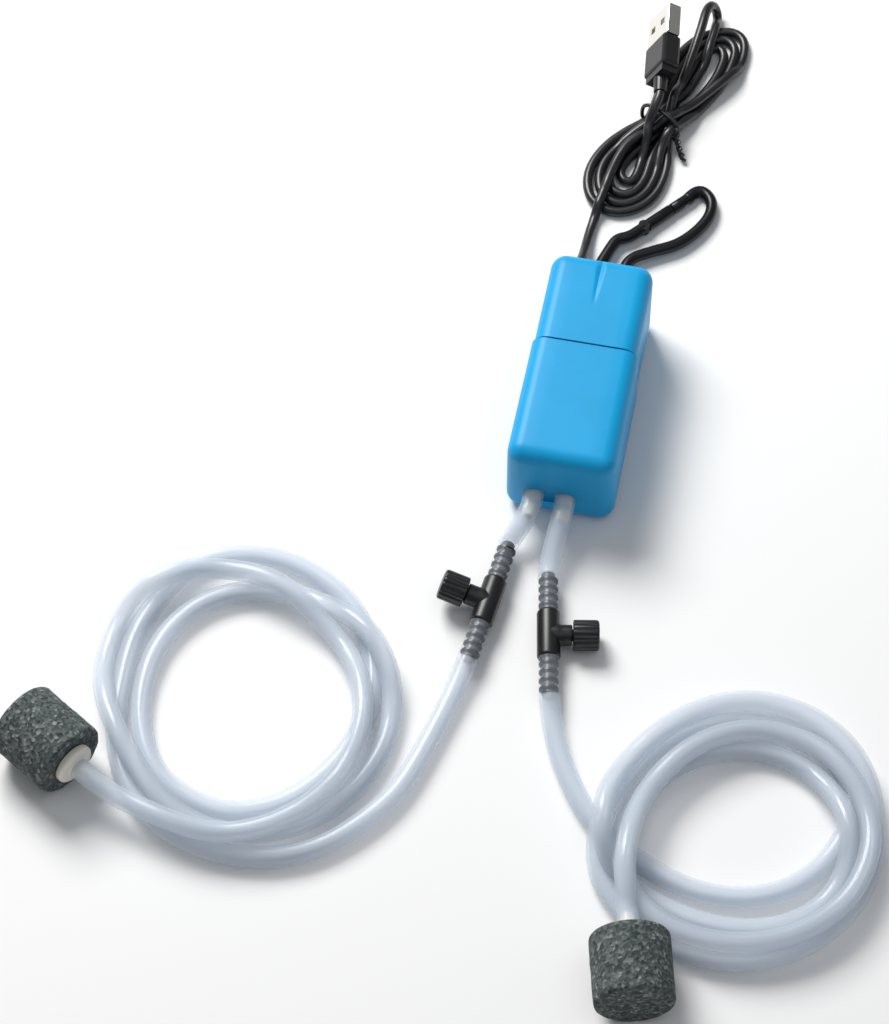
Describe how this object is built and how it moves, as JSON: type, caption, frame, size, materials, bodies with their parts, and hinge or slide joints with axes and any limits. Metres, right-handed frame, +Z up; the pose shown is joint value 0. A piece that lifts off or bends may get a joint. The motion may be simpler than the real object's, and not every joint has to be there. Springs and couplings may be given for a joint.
{
  "type": "aquarium air pump",
  "caption": "Small USB air pump with two outlets, coiled air hoses with needle valves and air stones, a tied USB cable and a snap hook.",
  "frame": {"origin": "on the floor under the middle of the housing's flat bottom, at half its length and half its width", "axes": "+Y along the housing from the air outlets to the cable end, +Z up, +X to the right seen from behind the outlets looking along +Y"},
  "size_m": [0.2453, 0.34, 0.029],
  "materials": {
    "housing_blue": "satin",
    "inner_white": "satin",
    "black_plastic": "satin",
    "hose_clear": "translucent, glossy",
    "black_rubber": "matt",
    "air_stone": "rough, fine-grained",
    "cap_cream": "satin",
    "cable_black": "satin PVC",
    "plug_metal": "bright nickel plate",
    "steel": "plain",
    "core_iron": "laminated, dull",
    "magnet": "dull grey",
    "copper": "enamelled copper wire",
    "board": "green solder mask",
    "chip": "dull black",
    "anodised_black": "satin black anodised aluminium"
  },
  "bodies": {
    "pump": {"front_shell": "housing_blue", "rear_cover": "housing_blue", "chassis": "inner_white", "valve_block": "inner_white", "manifold_gasket": "black_rubber", "outlet_manifold": "inner_white", "coil_bobbin": "inner_white", "coil_winding": "copper", "laminated_core": "core_iron", "circuit_board": "board", "driver_chip": "chip", "capacitor": "chip", "strain_relief": "black_rubber", "cable_lead": "cable_black", "cable_tail": "cable_black", "cable_hank": "cable_black", "cable_tie": "cable_black", "usb_grip": "black_plastic", "usb_shell": "plug_metal", "usb_tongue": "inner_white", "hose_tail_left": "hose_clear", "block_screw_left": "steel", "outlet_flap_left": "black_rubber", "diaphragm_left": "black_rubber", "diaphragm_clamp_left": "inner_white", "hose_short_left": "hose_clear", "hose_lead_left": "hose_clear", "hose_coil_left": "hose_clear", "valve_body_left": "black_plastic", "air_stone_left": "air_stone", "stone_cap_left": "cap_cream", "block_screw_right": "steel", "outlet_flap_right": "black_rubber", "diaphragm_right": "black_rubber", "diaphragm_clamp_right": "inner_white", "hose_short_right": "hose_clear", "hose_lead_right": "hose_clear", "hose_coil_right": "hose_clear", "valve_body_right": "black_plastic", "air_stone_right": "air_stone", "stone_cap_right": "cap_cream"},
    "hook": {"hook_bar": "anodised_black", "gate_pin": "anodised_black"},
    "hook_gate": {"hook_gate": "anodised_black"},
    "arm_left": {"swing_arm_left": "inner_white", "arm_magnet_left": "magnet", "diaphragm_stud_left": "steel"},
    "needle_seal_left": {"o_ring_left": "black_rubber"},
    "needle_knob_left": {"valve_knob_left": "black_plastic"},
    "arm_right": {"swing_arm_right": "inner_white", "arm_magnet_right": "magnet", "diaphragm_stud_right": "steel"},
    "needle_seal_right": {"o_ring_right": "black_rubber"},
    "needle_knob_right": {"valve_knob_right": "black_plastic"}
  },
  "joints": [
    {"name": "needle_lift_left", "type": "slide", "parent": "pump", "child": "needle_seal_left", "axis": [-0.965, 0.1014, 0.2419], "range_m": [0, 0.00174]},
    {"name": "needle_knob_left", "type": "hinge", "parent": "needle_seal_left", "child": "needle_knob_left", "pos_m": [-0.0136, -0.0705, 0.0047], "axis": [-0.965, 0.1014, 0.2419], "range_deg": [0, 900]},
    {"name": "needle_lift_right", "type": "slide", "parent": "pump", "child": "needle_seal_right", "axis": [0.9826, 0.1857, 0], "range_m": [0, 0.00174]},
    {"name": "needle_knob_right", "type": "hinge", "parent": "needle_seal_right", "child": "needle_knob_right", "pos_m": [0.005, -0.0779, 0.0047], "axis": [0.9826, 0.1857, 0], "range_deg": [0, 900]},
    {"name": "hook_swing", "type": "hinge", "parent": "pump", "child": "hook", "pos_m": [-0.0005, 0.0392, 0.0033], "axis": [1, 0, 0], "range_deg": [0, 94]},
    {"name": "gate_turn", "type": "hinge", "parent": "hook", "child": "hook_gate", "pos_m": [0.0072, 0.06718, 0.00237], "axis": [0, 0.0332, 0.9995], "range_deg": [-28, 0], "stiffness_Nm_per_rad": 0.02, "springref_deg": 11.46},
    {"name": "arm_swing_left", "type": "hinge", "parent": "pump", "child": "arm_left", "pos_m": [-0.0106, -0.0246, 0.012], "axis": [0, 0, 1], "range_deg": [-1.4, 1.4], "stiffness_Nm_per_rad": 0.05, "deforming": ["diaphragm_left"]},
    {"name": "arm_swing_right", "type": "hinge", "parent": "pump", "child": "arm_right", "pos_m": [0.0106, -0.0246, 0.012], "axis": [0, 0, 1], "range_deg": [-1.4, 1.4], "stiffness_Nm_per_rad": 0.05, "deforming": ["diaphragm_right"]}
  ],
  "couplings": [
    {"joint": "needle_knob_left", "follows": "needle_lift_left", "rad_per_m": 8976},
    {"joint": "needle_knob_right", "follows": "needle_lift_right", "rad_per_m": 8976},
    {"joint": "arm_swing_right", "follows": "arm_swing_left", "ratio": -1}
  ]
}
